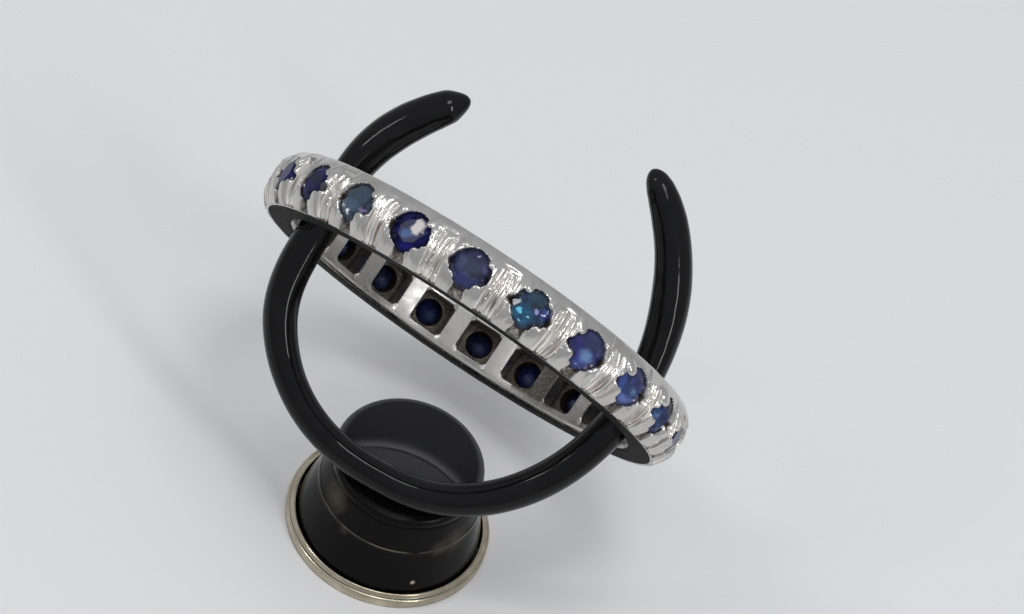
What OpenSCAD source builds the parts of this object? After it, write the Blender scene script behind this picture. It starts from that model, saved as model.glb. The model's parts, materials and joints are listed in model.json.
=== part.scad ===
// Eternity ring: round stones all the way round a domed band, held on a plain display stand.
// Millimetres. +Z is up and -Y is the front. The origin is the centre of the stand's flat base.

/* [Band] */
// Diameter of the finger hole
finger_d = 16.8; // [15:0.1:20]
// Width of the band along the finger
band_w = 2.56; // [2.4:0.02:3.2]
// Thickness of the band at its flat sides
side_wall = 1.38; // [1.3:0.02:1.7]
// Rise of the domed outside above the flat sides
dome_rise = 0.56; // [0.4:0.02:0.8]
// Rounding of the two edges that touch the finger
comfort_r = 0.25; // [0.1:0.01:0.4]

/* [Stones] */
// Number of stones round the band
stone_count = 22; // [16:1:24]
// Girdle diameter of a stone
stone_d = 1.8; // [1.5:0.02:1.9]
// Diameter of a stone's flat table
table_d = 1.04; // [0.8:0.02:1.1]
// Height from the girdle up to the table
crown_h = 0.26; // [0.18:0.01:0.32]
// Height of the girdle band
girdle_h = 0.05; // [0.03:0.01:0.08]
// Depth from the girdle down to the point
pavilion_h = 0.74; // [0.6:0.01:0.8]
// Depth of the tables below the top of the dome
table_sink = 0.14; // [0.05:0.01:0.3]
// Turn of the first stone round the band
first_stone_turn = 209.1; // [0:0.1:360]

/* [Setting] */
// Clearance between a stone and its seat
seat_gap = 0.03; // [0.02:0.01:0.06]
// Diameter of the round opening that shows a stone
opening_d = 1.7; // [1.3:0.02:1.8]
// Diameter of a claw bead
claw_d = 0.64; // [0.4:0.02:0.7]
// Overlap of a claw bead onto its stone
claw_reach = 0.3; // [0.15:0.01:0.35]
// Height of a claw's top above the stone's table
claw_lift = 0.16; // [0.05:0.01:0.3]
// Width of the bright cut valley between two stones
valley_w = 0.7; // [0.4:0.02:0.8]
// Depth of the bright cut valley
valley_d = 0.13; // [0.05:0.01:0.2]
// Width of the plain border along the back edge
border_w = 0.42; // [0.2:0.02:0.6]
// Width of the open notch from each stone to the front edge
notch_w = 0.58; // [0.3:0.02:0.7]
// Depth of the notch's floor below the edge of the dome
notch_d = 0.07; // [0.03:0.01:0.12]
// Side of the square window behind each stone
window_w = 1.56; // [1.3:0.02:1.6]
// Depth of the square window from the finger hole
window_d = 0.8; // [0.6:0.02:0.9]
// Diameter of the round opening between window and seat
throat_d = 1.24; // [1:0.02:1.4]

/* [Stand] */
// Diameter of the stand's base
base_d = 9.06; // [8:0.02:12]
// Height of the metal rim round the base
rim_h = 0.6; // [0.4:0.02:1]
// Width of the metal rim
rim_w = 0.45; // [0.3:0.01:0.6]
// Step down from the rim's inner bead to its outer bead
rim_step = 0.14; // [0.05:0.01:0.25]
// Height of the body under its cap
body_h = 4.1; // [3:0.05:6]
// Diameter of the cap
cap_d = 6.6; // [6:0.05:8]
// Overhang of the cap past the top of the body
cap_lip = 0.05; // [0:0.01:0.2]
// Height of the cap at its edge
cap_h = 0.66; // [0.5:0.01:0.9]
// Rise of the cap's dome
cap_rise = 0.3; // [0.1:0.01:0.5]
// Thickness of the clip's rod
rod_d = 1.52; // [1.2:0.02:1.7]
// Height of the clip from its lowest to its highest point, along the rod's middle
clip_h = 18.1; // [17.5:0.1:20]
// Angle between the clip and the floor
clip_lean = 42; // [36:1:50]
// Turn of the clip in its own plane
clip_turn = -3.5; // [-6:0.5:3]
// Turn from the clip's foot round to its left tip
left_tip_turn = 145; // [140:0.5:150]
// Turn from the clip's foot round to its right tip
right_tip_turn = 146.5; // [140:0.5:150]
// Bulge of the clip's left arm below the ring
left_belly = 0.95; // [0:0.05:1]
// How far the clip's left tip is drawn in
left_hook = 0.5; // [0:0.05:0.6]
// Depth of the groove in the cap that the clip lies in
groove_d = 0.3; // [0.2:0.01:0.4]
// Distance of the clip's foot in front of the cap's middle
clip_front = 2.39; // [2:0.01:2.6]
// Clearance between parts that sit in each other
fit_gap = 0.04; // [0.02:0.01:0.08]
// Clearance between the rod and the finger hole
arm_gap = 0.1; // [0.1:0.01:0.2]

/* [Ring on the stand] */
// Distance from the clip's foot up to the ring's middle, along the clip
ring_up = 8.06; // [7.6:0.02:8.6]
// Distance of the ring's middle to the right of the clip's foot
ring_right_w = 0.34; // [0.2:0.01:0.45]
// Angle between the ring and the floor
ring_lean = 56.9; // [52:0.1:62]
// Turn of the ring about the vertical
ring_turn = -15.2; // [-20:0.1:-10]

/* [Hidden] */
$fn = 64;
slack = 0.5; // length by which a cutter runs past what it cuts
claw_a = 45; // angle of the claws from the line along the band
valley_run_a = 12; // angle by which the valley's cutter runs out past the front edge
star_out = 1.02; // reach of the star facets' outer corners, as a share of halfway to the girdle
lower_in = 0.22; // reach of the lower facets' inner corners, as a share of the girdle's radius
function stone_name(k) = str("stone_", k < 10 ? "0" : "", k);

finger_r = finger_d / 2;
shoulder_r = finger_r + side_wall;
top_r = shoulder_r + dome_rise;
half_w = band_w / 2;
dome_r = (dome_rise * dome_rise + half_w * half_w) / (2 * dome_rise);
dome_middle = top_r - dome_r;
pitch_a = 360 / stone_count;

table_r = top_r - table_sink;
girdle_r = table_r - crown_h;
point_r = girdle_r - girdle_h - pavilion_h;

rod_r = rod_d / 2;
rim_in_r = base_d / 2 - rim_w;
body_top_r = cap_d / 2 - cap_lip;
cap_bottom = body_h + fit_gap;
cap_top = cap_bottom + cap_h + cap_rise;
clip_half_w = finger_r - rod_r - arm_gap;
clip_half_h = clip_h / 2;

// The rod lies in the cap's groove. The clip leans back from there, and the ring hangs on its arms.
clip_foot = [0, -clip_front, cap_top - groove_d + fit_gap + rod_r];
up_clip = [0, cos(clip_lean), sin(clip_lean)];
ring_middle = clip_foot + [ring_right_w, 0, 0] + ring_up * up_clip;

// Radius along each arm: share of the way from the foot to the tip, share of the rod's radius.
left_taper = [
    [0, 0.91], [0.08, 0.87], [0.17, 0.86], [0.31, 0.89], [0.44, 1], [0.53, 1.04], [0.61, 1], [0.69, 1],
    [0.73, 1.05], [0.77, 1.11], [0.82, 1.15], [0.87, 1.13], [0.92, 1.05], [0.95, 0.98], [0.96, 0.9],
    [0.97, 0.76], [0.98, 0.61], [0.99, 0.44], [0.996, 0.3], [1, 0.08]
];
right_taper = [
    [0, 0.91], [0.12, 0.94], [0.3, 1], [0.6, 1], [0.66, 1.05], [0.71, 1.1], [0.76, 1.11], [0.82, 1.06],
    [0.89, 1.01], [0.93, 0.92], [0.96, 0.8], [0.98, 0.62], [0.99, 0.45], [0.996, 0.3], [1, 0.08]
];
belly_start = 5; // turn from the foot where the left arm starts to bulge
belly_turn = 60; // turn where it bulges most
belly_end = 95; // turn where it is back beside the ring
hook_start = 106; // turn where the left tip starts to draw in
rim_inner_part = 0.46; // share of the rim's width that the inner bead takes
rim_outer_part = 0.62; // share of the rim's width that the outer bead takes
rod_rings = 72; // steps along the rod
rod_sides = 14; // sides round the rod

// One stone: a table, eight stars, eight kites, sixteen upper and sixteen lower halves, eight mains.
module cut_stone() {
    table_rr = table_d / 2;
    girdle_rr = stone_d / 2;
    star_rr = (table_rr + girdle_rr) / 2 * star_out;
    lower_rr = girdle_rr * lower_in;
    low_girdle = girdle_r - girdle_h;
    along_kite = (star_rr * cos(22.5) - table_rr) / (girdle_rr - table_rr);
    along_main = lower_rr * cos(22.5) / girdle_rr;
    star_z = table_r + (girdle_r - table_r) * along_kite;
    lower_z = point_r + (low_girdle - point_r) * along_main;
    points = concat(
        [for (i = [0:7]) [table_rr * cos(45 * i), table_rr * sin(45 * i), table_r]],
        [for (i = [0:7]) [star_rr * cos(45 * i + 22.5), star_rr * sin(45 * i + 22.5), star_z]],
        [for (i = [0:15]) [girdle_rr * cos(22.5 * i), girdle_rr * sin(22.5 * i), girdle_r]],
        [for (i = [0:15]) [girdle_rr * cos(22.5 * i), girdle_rr * sin(22.5 * i), low_girdle]],
        [for (i = [0:7]) [lower_rr * cos(45 * i + 22.5), lower_rr * sin(45 * i + 22.5), lower_z]],
        [[0, 0, point_r]]
    );
    star = 8;
    upper = 16;
    lower = 32;
    lower_star = 48;
    tip = 56;
    faces = concat(
        [[for (i = [7:-1:0]) i]],
        [for (i = [0:7]) [i, (i + 1) % 8, star + i]],
        [for (i = [0:7]) [i, star + i, upper + 2 * i, star + (i + 7) % 8]],
        [for (i = [0:7]) [star + i, upper + 2 * i + 1, upper + 2 * i]],
        [for (i = [0:7]) [star + i, upper + (2 * i + 2) % 16, upper + 2 * i + 1]],
        [for (i = [0:15]) [upper + i, upper + (i + 1) % 16, lower + (i + 1) % 16, lower + i]],
        [for (i = [0:7]) [lower_star + i, lower + 2 * i, lower + 2 * i + 1]],
        [for (i = [0:7]) [lower_star + i, lower + 2 * i + 1, lower + (2 * i + 2) % 16]],
        [for (i = [0:7]) [tip, lower_star + (i + 7) % 8, lower + 2 * i, lower_star + i]]
    );
    polyhedron(points, faces);
}

// Puts its children at angle a round the band: their Z points outward, their X to the front edge.
module round_band(a) {
    rotate([0, 0, a]) rotate([0, 90, 0]) children();
}

// Puts its children where the ring hangs.
module at_ring() {
    translate(ring_middle) rotate([-ring_lean, 0, ring_turn]) children();
}

// Section of the band: flat sides, a domed outside and rounded inner edges.
module band_section() {
    difference() {
        intersection() {
            translate([finger_r, -half_w]) square([top_r - finger_r + slack, band_w]);
            translate([dome_middle, 0]) circle(r = dome_r);
        }
        for (side = [-1, 1]) {
            difference() {
                translate([finger_r, side > 0 ? half_w - comfort_r : -half_w])
                    square(comfort_r);
                translate([finger_r + comfort_r, side * (half_w - comfort_r)])
                    circle(r = comfort_r);
            }
        }
    }
}

// Room for a stone: its own outline with the seat's clearance, open above the claws.
module stone_room() {
    wide = stone_d / 2 + seat_gap;
    flat = table_d / 2 + seat_gap;
    throat = throat_d / 2;
    slope = pavilion_h / (stone_d / 2);
    low = girdle_r - girdle_h - seat_gap;
    rotate_extrude() polygon([
        [0, low - (wide - throat) * slope], [throat, low - (wide - throat) * slope],
        [wide, low], [wide, girdle_r + seat_gap / 2],
        [flat, table_r + seat_gap], [flat, top_r + slack], [0, top_r + slack]
    ]);
}

// Everything cut behind and round one stone before its claws are raised.
module stone_cuts() {
    translate([0, 0, girdle_r])
        cylinder(d = opening_d, h = top_r - girdle_r + slack);
    translate([0, 0, finger_r - slack])
        cylinder(d = throat_d, h = girdle_r - finger_r + slack);
    translate([-window_w / 2, -window_w / 2, finger_r - slack])
        cube([window_w, window_w, window_d + slack]);
    translate([stone_d / 4, -notch_w / 2, shoulder_r - notch_d])
        cube([half_w + slack - stone_d / 4, notch_w, dome_rise + notch_d + slack]);
}

// The bright cut valley between two stones follows the dome from the border to the front edge.
module valley_cut() {
    from_a = -asin((half_w - border_w) / dome_r);
    to_a = asin(half_w / dome_r) + valley_run_a;
    translate([0, 0, dome_middle]) rotate([90, 0, 0]) rotate([0, 0, 90 - to_a])
        rotate_extrude(angle = to_a - from_a) polygon([
            [dome_r - valley_d, 0],
            [dome_r + valley_d, valley_w],
            [dome_r + valley_d, -valley_w]
        ]);
}

// Four claw beads pushed over the edge of one stone.
module claws() {
    out = stone_d / 2 + claw_d / 2 - claw_reach;
    for (side = [-1, 1], end = [-1, 1])
        translate([side * out * sin(claw_a), end * out * cos(claw_a),
                   table_r + claw_lift - claw_d / 2]) {
            sphere(d = claw_d);
            translate([0, 0, -claw_d]) cylinder(d = claw_d, h = claw_d);
        }
}

module ring_band() {
    color("silver") at_ring() difference() {
        union() {
            difference() {
                rotate_extrude($fn = 180) band_section();
                for (k = [1:stone_count]) {
                    round_band(first_stone_turn + (k - 1) * pitch_a) stone_cuts();
                    round_band(first_stone_turn + (k - 0.5) * pitch_a) valley_cut();
                }
            }
            for (k = [1:stone_count])
                round_band(first_stone_turn + (k - 1) * pitch_a) claws();
        }
        for (k = [1:stone_count])
            round_band(first_stone_turn + (k - 1) * pitch_a) stone_room();
    }
}

module stone(k) {
    color("royalblue") at_ring()
        round_band(first_stone_turn + (k - 1) * pitch_a) cut_stone();
}

// Middle of the rod at angle t from the clip's foot, and the direction across it in the clip's plane.
// Each arm is half of an oval. The left one bulges below the ring, and its tip is drawn in.
function way(t, from, to) = max(0, min(1, (t - from) / (to - from)));
function belly(t) = left_belly * (t < belly_turn
    ? pow(sin(90 * way(t, belly_start, belly_turn)), 1.5)
    : (1 + cos(180 * way(t, belly_turn, belly_end))) / 2);
function hook(t) = left_hook * (1 - cos(180 * way(t, hook_start, left_tip_turn))) / 2;
function rod_point(t) = [clip_half_w * sin(t), clip_half_h * (1 - cos(t)), 0]
    + (t < 0 ? belly(-t) - hook(-t) : 0) * rod_across(t);
function rod_radius(t) = rod_r * (t < 0
    ? lookup(-t / left_tip_turn, left_taper)
    : lookup(t / right_tip_turn, right_taper));
function rod_across(t) =
    let (d = [clip_half_w * cos(t), clip_half_h * sin(t)]) [d[1], -d[0], 0] / norm(d);

// An open loop of round rod that leans back from the foot, with tapered tips.
module clip() {
    rings = [for (i = [0:rod_rings])
        let (share = sin(90 * (2 * i / rod_rings - 1)),
             t = share * (share < 0 ? left_tip_turn : right_tip_turn),
             r = rod_radius(t))
        [for (j = [0:rod_sides - 1])
            let (a = 360 * j / rod_sides)
            rod_point(t) + r * cos(a) * rod_across(t) + [0, 0, r * sin(a)]]
    ];
    points = [for (ring = rings) each ring];
    last = rod_rings * rod_sides;
    faces = concat(
        [[for (j = [0:rod_sides - 1]) j]],
        [for (i = [0:rod_rings - 1], j = [0:rod_sides - 1])
            let (n = (j + 1) % rod_sides, a = i * rod_sides, b = a + rod_sides)
            [a + j, b + j, b + n, a + n]],
        [[for (j = [rod_sides - 1:-1:0]) last + j]]
    );
    color("#151515") translate(clip_foot) rotate([clip_lean, 0, 0])
        rotate([0, 0, clip_turn]) polyhedron(points, faces);
}

// A black cap with a low dome and a groove across its front for the rod.
module foot_cap() {
    cap_r = cap_d / 2;
    dome = (cap_rise * cap_rise + cap_r * cap_r) / (2 * cap_rise);
    color("#202022") difference() {
        intersection() {
            translate([0, 0, cap_bottom]) cylinder(r = cap_r, h = cap_h + cap_rise, $fn = 96);
            translate([0, 0, cap_top - dome]) sphere(r = dome, $fn = 128);
        }
        translate([-cap_d, clip_foot[1], clip_foot[2]]) rotate([0, 90, 0])
            cylinder(r = rod_r + fit_gap, h = 2 * cap_d, $fn = 48);
    }
}

// A turned body that widens from the cap to its base, stepped in at the bottom for the rim.
module foot_body() {
    color("#2a2620") rotate_extrude($fn = 96) polygon([
        [0, 0], [rim_in_r, 0], [rim_in_r, rim_h], [body_top_r, body_h], [0, body_h]
    ]);
}

// The bright rim stands on the surface round the foot of the body: two beads, the outer one lower.
module foot_rim() {
    inner_r = rim_in_r + fit_gap;
    wide = base_d / 2 - inner_r;
    bead_in = wide * rim_inner_part;
    bead_out = wide * rim_outer_part;
    color("#c9bb92") rotate_extrude($fn = 96) {
        translate([inner_r, 0]) square([bead_in, rim_h - bead_in / 2]);
        translate([inner_r + bead_in / 2, rim_h - bead_in / 2]) circle(d = bead_in);
        translate([inner_r, 0]) square([wide, rim_h - rim_step - bead_out / 2]);
        translate([inner_r + wide - bead_out / 2, rim_h - rim_step - bead_out / 2])
            circle(d = bead_out);
    }
}

ring_band();
for (k = [1:stone_count])
    stone(k);
clip();
foot_cap();
foot_body();
foot_rim();
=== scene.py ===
# %% [markdown]
# An eternity ring on its display stand. The ring is one white metal band with round blue stones
# all the way round it. It hangs on the two arms of an open black clip, which leans back from a
# small turned foot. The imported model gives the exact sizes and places. This lesson adds what the
# eye looks for at a few centimetres: soft claws, graver lines, pits, facets, polish and wear.

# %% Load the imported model
import math
import json

import bpy
import numpy as np
from mathutils import Matrix, Vector

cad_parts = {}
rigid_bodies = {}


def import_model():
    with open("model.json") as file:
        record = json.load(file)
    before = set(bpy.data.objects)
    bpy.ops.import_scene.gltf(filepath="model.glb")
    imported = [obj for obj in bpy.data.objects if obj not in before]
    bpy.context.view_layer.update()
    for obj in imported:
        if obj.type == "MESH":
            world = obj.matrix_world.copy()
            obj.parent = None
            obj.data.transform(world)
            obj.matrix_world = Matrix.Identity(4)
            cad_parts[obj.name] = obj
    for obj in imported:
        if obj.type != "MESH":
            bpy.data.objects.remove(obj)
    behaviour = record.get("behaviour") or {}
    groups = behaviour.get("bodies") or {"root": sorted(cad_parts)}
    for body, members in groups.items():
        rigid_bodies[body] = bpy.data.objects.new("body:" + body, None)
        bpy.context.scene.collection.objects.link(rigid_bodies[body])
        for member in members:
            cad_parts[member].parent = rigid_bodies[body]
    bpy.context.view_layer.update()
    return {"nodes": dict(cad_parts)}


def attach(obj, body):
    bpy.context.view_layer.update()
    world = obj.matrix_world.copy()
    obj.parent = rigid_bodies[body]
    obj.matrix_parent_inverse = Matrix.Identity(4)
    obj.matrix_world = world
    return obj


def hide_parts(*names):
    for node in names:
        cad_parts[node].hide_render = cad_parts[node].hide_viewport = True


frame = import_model()
nodes = frame["nodes"]

# %% [markdown]
# The ring's own frame. The ring leans on the clip, so nothing on it lies along the world's axes.
# It is far easier to model it flat and turn the finished points, and the turn is the same one
# that the solids have. Lengths below are in millimetres until the mesh is made.

# %% Sizes of the ring, and the turn from its own frame to the stand's
MM = 0.001
FINGER_R = 8.4
BAND_W = 2.56
SHOULDER_R = FINGER_R + 1.38
TOP_R = SHOULDER_R + 0.56
HALF_W = BAND_W / 2
DOME_RISE = TOP_R - SHOULDER_R
DOME_R = (DOME_RISE ** 2 + HALF_W ** 2) / (2 * DOME_RISE)
DOME_MIDDLE = TOP_R - DOME_R
STONES = 22
PITCH = 2 * math.pi / STONES
FIRST_STONE = math.radians(209.1)
STONE_R = 0.90
TABLE_LEVEL = TOP_R - 0.14
GIRDLE_LEVEL = TABLE_LEVEL - 0.26
CLIP_FOOT = np.array([0.0, -2.39, 5.6])
CLIP_LEAN = math.radians(42)
UP_CLIP = np.array([0.0, math.cos(CLIP_LEAN), math.sin(CLIP_LEAN)])
RING_MIDDLE = CLIP_FOOT + [0.34, 0, 0] + 8.06 * UP_CLIP
RING_LEAN = math.radians(-56.9)
RING_SIDE_TURN = math.radians(-15.2)
RING_TURN = np.array(Matrix.Rotation(RING_SIDE_TURN, 3, "Z") @ Matrix.Rotation(RING_LEAN, 3, "X"))


def stone_angle(k):
    """Angle round the band of stone k, where 0 is the first."""
    return FIRST_STONE + k * PITCH


def ring_point(angle, across, radius):
    """Points in the stand's frame. across runs from the back edge to the front edge of the band."""
    flat = np.stack([radius * np.cos(angle), radius * np.sin(angle), -across], axis=-1)
    return flat @ RING_TURN.T + RING_MIDDLE


print("middle of the ring in mm", np.round(RING_MIDDLE, 2))

# %% [markdown]
# The camera comes early, because every choice after it is judged through it. It is a long lens,
# close to the ring, a little over 45 degrees above the floor and rolled by 21 degrees, as the
# photograph has it. The three axes below are the picture's right, down and forward directions.

# %% Camera at the photograph's angle
CAMERA_UP_A = math.radians(48)
CAMERA_ROLL = math.radians(21)
LENS_PIXELS = 3747.0
PICTURE_PIXELS = 1024
SENSOR_MM = 36.0
CAMERA_FROM_RING = np.array([1.395, -105.19, 117.89])

over = np.array([0.0, math.sin(CAMERA_UP_A), math.cos(CAMERA_UP_A)])
sideways = np.array([1.0, 0.0, 0.0])
forward = np.array([0.0, math.cos(CAMERA_UP_A), -math.sin(CAMERA_UP_A)])
right = math.cos(CAMERA_ROLL) * sideways + math.sin(CAMERA_ROLL) * over
up = math.cos(CAMERA_ROLL) * over - math.sin(CAMERA_ROLL) * sideways
camera_data = bpy.data.cameras.new("photo_camera")
camera_data.sensor_width = SENSOR_MM
camera_data.lens = SENSOR_MM * LENS_PIXELS / PICTURE_PIXELS
camera_data.clip_start = 0.001
camera = bpy.data.objects.new("photo_camera", camera_data)
bpy.context.scene.collection.objects.link(camera)
place = (RING_MIDDLE + CAMERA_FROM_RING) * MM
turn = Matrix((right, up, -forward)).transposed()
camera.matrix_world = Matrix.Translation(Vector(place)) @ turn.to_4x4()
bpy.context.scene.camera = camera
print("lens in mm", round(camera_data.lens, 1), "camera at", np.round(place, 4))

# %% [markdown]
# A small kit for meshes and materials. A mesh here is a numpy table of points and a list of
# faces. Points that fall on each other are merged, so two grids can share an edge, and faces
# that lose a side that way become triangles or go.

# %% Helpers for meshes


def merged(points, faces):
    """Joins points closer than a tenth of a micron and drops the faces that this flattens."""
    keys, first, which = np.unique(
        np.round(points * 1e4).astype(np.int64), axis=0, return_index=True, return_inverse=True
    )
    which = which.reshape(-1)
    kept = []
    for face in faces:
        corners = []
        for i in which[list(face)]:
            if i not in corners:
                corners.append(int(i))
        if len(corners) > 2:
            kept.append(corners)
    return points[first], kept, first


def grid_faces(rows, columns, wrap_rows=False, wrap_columns=False):
    """Faces of a grid of points kept row after row."""
    r = np.arange(rows if wrap_rows else rows - 1)
    c = np.arange(columns if wrap_columns else columns - 1)
    r, c = np.meshgrid(r, c, indexing="ij")
    r, c = r.ravel(), c.ravel()
    r2, c2 = (r + 1) % rows, (c + 1) % columns
    return np.stack([r * columns + c, r2 * columns + c, r2 * columns + c2, r * columns + c2], axis=1)


def add_mesh(name, points, faces, sharp_angle=35.0, marks=None):
    """Makes the piece from points in mm. marks are named values, one per point."""
    mesh = bpy.data.meshes.new(name)
    mesh.from_pydata((np.asarray(points) * MM).tolist(), [], [list(map(int, f)) for f in faces])
    mesh.polygons.foreach_set("use_smooth", [True] * len(mesh.polygons))
    mesh.set_sharp_from_angle(angle=math.radians(sharp_angle))
    for mark, values in (marks or {}).items():
        layer = mesh.attributes.new(mark, "FLOAT", "POINT")
        layer.data.foreach_set("value", np.asarray(values, np.float32))
    mesh.update()
    piece = bpy.data.objects.new(name, mesh)
    bpy.context.scene.collection.objects.link(piece)
    triangles = sum(len(p.vertices) - 2 for p in mesh.polygons)
    print(name, len(mesh.vertices), "points,", triangles, "triangles")
    return piece


def lumps(x, y, size, seed):
    """Smooth random bumps of about the given size, from -1 to 1, the same on every run."""
    table = np.random.default_rng(seed).uniform(-1, 1, (128, 128))
    gx, gy = np.asarray(x) / size, np.asarray(y) / size
    ix, iy = np.floor(gx).astype(int), np.floor(gy).astype(int)
    fx, fy = gx - ix, gy - iy
    fx, fy = fx * fx * (3 - 2 * fx), fy * fy * (3 - 2 * fy)
    low = table[ix % 128, iy % 128] * (1 - fx) + table[(ix + 1) % 128, iy % 128] * fx
    high = table[ix % 128, (iy + 1) % 128] * (1 - fx) + table[(ix + 1) % 128, (iy + 1) % 128] * fx
    return low * (1 - fy) + high * fy


def ramp(value, start, end):
    """0 before start, 1 after end, and a smooth step between them."""
    share = np.clip((value - start) / (end - start), 0, 1)
    return share * share * (3 - 2 * share)


print("random bumps at three places", np.round(lumps([0, 1, 2], [0, 0, 0], 0.7, 1), 2))

# %% Helpers for materials


def new_material(name):
    """A material with its node tree and its shader node."""
    material = bpy.data.materials.new(name)
    material.use_nodes = True
    tree = material.node_tree
    shader = tree.nodes["Principled BSDF"]
    return material, tree, shader


def add_node(tree, kind, settings=None, **inputs):
    """Adds a node. settings are its own options, and inputs fill or wire its sockets by name."""
    made = tree.nodes.new(kind)
    for option, value in (settings or {}).items():
        setattr(made, option, value)
    for socket, value in inputs.items():
        wire(tree, value, made.inputs[socket.replace("_", " ")])
    return made


def wire(tree, value, socket):
    """Wires an output into a socket, or sets the socket to a plain value."""
    if isinstance(value, bpy.types.NodeSocket):
        tree.links.new(value, socket)
    else:
        socket.default_value = value


def blend_colour(tree, share, first, second):
    """A colour between first and second."""
    mix = tree.nodes.new("ShaderNodeMix")
    mix.data_type = "RGBA"
    wire(tree, share, mix.inputs[0])
    wire(tree, first, mix.inputs[6])
    wire(tree, second, mix.inputs[7])
    return mix.outputs[2]


def remap(tree, value, from_min, from_max, to_min=0.0, to_max=1.0):
    """A value moved from one range to another and held inside it."""
    made = add_node(tree, "ShaderNodeMapRange")
    wire(tree, value, made.inputs[0])
    for i, limit in enumerate((from_min, from_max, to_min, to_max)):
        made.inputs[i + 1].default_value = limit
    return made.outputs[0]


def own_place(tree):
    """Place on the piece in the stand's own coordinates, in metres."""
    return tree.nodes.new("ShaderNodeTexCoord").outputs["Object"]


def noise(tree, scale, detail=3.0, roughness=0.5, stretch=(1, 1, 1)):
    """Procedural noise in the stand's own coordinates, in bumps per metre."""
    spread = add_node(tree, "ShaderNodeMapping", Vector=own_place(tree), Scale=stretch)
    made = add_node(tree, "ShaderNodeTexNoise", Vector=spread.outputs[0], Scale=scale, Detail=detail)
    made.inputs["Roughness"].default_value = roughness
    return made.outputs[0]


def bump(tree, height, strength, distance, under=None):
    """A surface normal that follows a height, with the depth in metres, laid over another one."""
    made = add_node(tree, "ShaderNodeBump", Strength=strength, Distance=distance, Height=height)
    if under is not None:
        wire(tree, under, made.inputs["Normal"])
    return made.outputs[0]


def mark(tree, name):
    """A value that the mesh carries at its points."""
    return add_node(tree, "ShaderNodeAttribute", {"attribute_name": name}).outputs["Fac"]


def calculate(tree, operation, *values):
    """The result of a math node."""
    made = add_node(tree, "ShaderNodeMath", {"operation": operation})
    for socket, value in zip(made.inputs, values):
        wire(tree, value, socket)
    return made.outputs[0]


def times(tree, first, second):
    """Two values multiplied."""
    return calculate(tree, "MULTIPLY", first, second)


def calculate_vector(tree, operation, *values):
    """The result of a vector math node, which is a number for lengths, distances and dot products."""
    made = add_node(tree, "ShaderNodeVectorMath", {"operation": operation})
    for socket, value in zip(made.inputs, values):
        wire(tree, value, socket)
    is_number = operation in ("LENGTH", "DISTANCE", "DOT_PRODUCT")
    return made.outputs["Value" if is_number else "Vector"]


def paint(tree, shader, colour, roughness, normal):
    """Wires a colour, a roughness and a normal into a shader."""
    for name, value in (("Base Color", colour), ("Roughness", roughness), ("Normal", normal)):
        wire(tree, value, shader.inputs[name])


print("the kit for meshes and materials is ready")

# %% [markdown]
# The white metal is polished but hand cut. Its colour hardly changes over the high parts. The pits hold
# brown tarnish with a few gold specks. The graver's cuts are bright cut metal with a painted highlight in
# their colour, and painted shade lies in the grooves between their ridges, darker towards the front edge.
# The mesh carries those places as named values, so colour and roughness follow the form exactly.

# %% Colours of the white metal
SILVER = (0.62, 0.61, 0.59, 1)
WORN_SILVER = (0.37, 0.355, 0.33, 1)
# Painted highlight on the graver's cuts, and painted shade in the grooves between their ridges.
BRIGHT_CUT_AND_PAINTED_HIGHLIGHT = (0.90, 0.86, 0.80, 1)
CUT_PAINTED_SHADE = (0.20, 0.14, 0.105, 1)
TARNISH = (0.060, 0.042, 0.028, 1)
GOLD_SPECK = (0.50, 0.40, 0.25, 1)
PIT_ROUGHNESS = 0.35  # how much rougher the tarnish is than the band
RIDGE_HEIGHT = 0.00009
SCRATCH_HEIGHT = 0.000012


def graver_lines(tree):
    """Fine lines that run across the band: high on the ridges and low between them."""
    place = add_node(tree, "ShaderNodeCombineXYZ", X=mark(tree, "along"), Y=mark(tree, "across"))
    drawn = add_node(tree, "ShaderNodeMapping", Vector=place.outputs[0], Scale=(1, 0.06, 1))
    made = add_node(tree, "ShaderNodeTexNoise", Vector=drawn.outputs[0], Scale=8.5, Detail=2.0)
    return made.outputs[0]


def metal_colour(tree, blotch, lines):
    """Worn silver, brighter with a painted highlight where it is cut, with painted shade between the
    graver's ridges that grows towards the front, and brown with gold specks in the pits and on one land
    inside, where that brown is a painted dark reflection.
    """
    specks = noise(tree, 9000, 3, 0.6)
    worn = blend_colour(tree, remap(tree, blotch, 0.35, 0.7, 0.0, 0.4), SILVER, WORN_SILVER)
    near_front = remap(tree, mark(tree, "across"), -0.35, 0.35, 0.15, 0.85)
    shade = times(tree, remap(tree, lines, 0.40, 0.46, 1.0, 0.0), near_front)
    cut_highlight_and_shade = blend_colour(tree, shade, BRIGHT_CUT_AND_PAINTED_HIGHLIGHT, CUT_PAINTED_SHADE)
    metal = blend_colour(tree, mark(tree, "cut"), worn, cut_highlight_and_shade)
    brown = blend_colour(tree, remap(tree, specks, 0.60, 0.70, 0.0, 0.75), TARNISH, GOLD_SPECK)
    tarnish_and_painted_dark = times(tree, mark(tree, "pit"), remap(tree, specks, 0.28, 0.55, 0.70, 1.0))
    return blend_colour(tree, tarnish_and_painted_dark, metal, brown)


print("tarnish", TARNISH[:3], "under silver", SILVER[:3])


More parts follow.
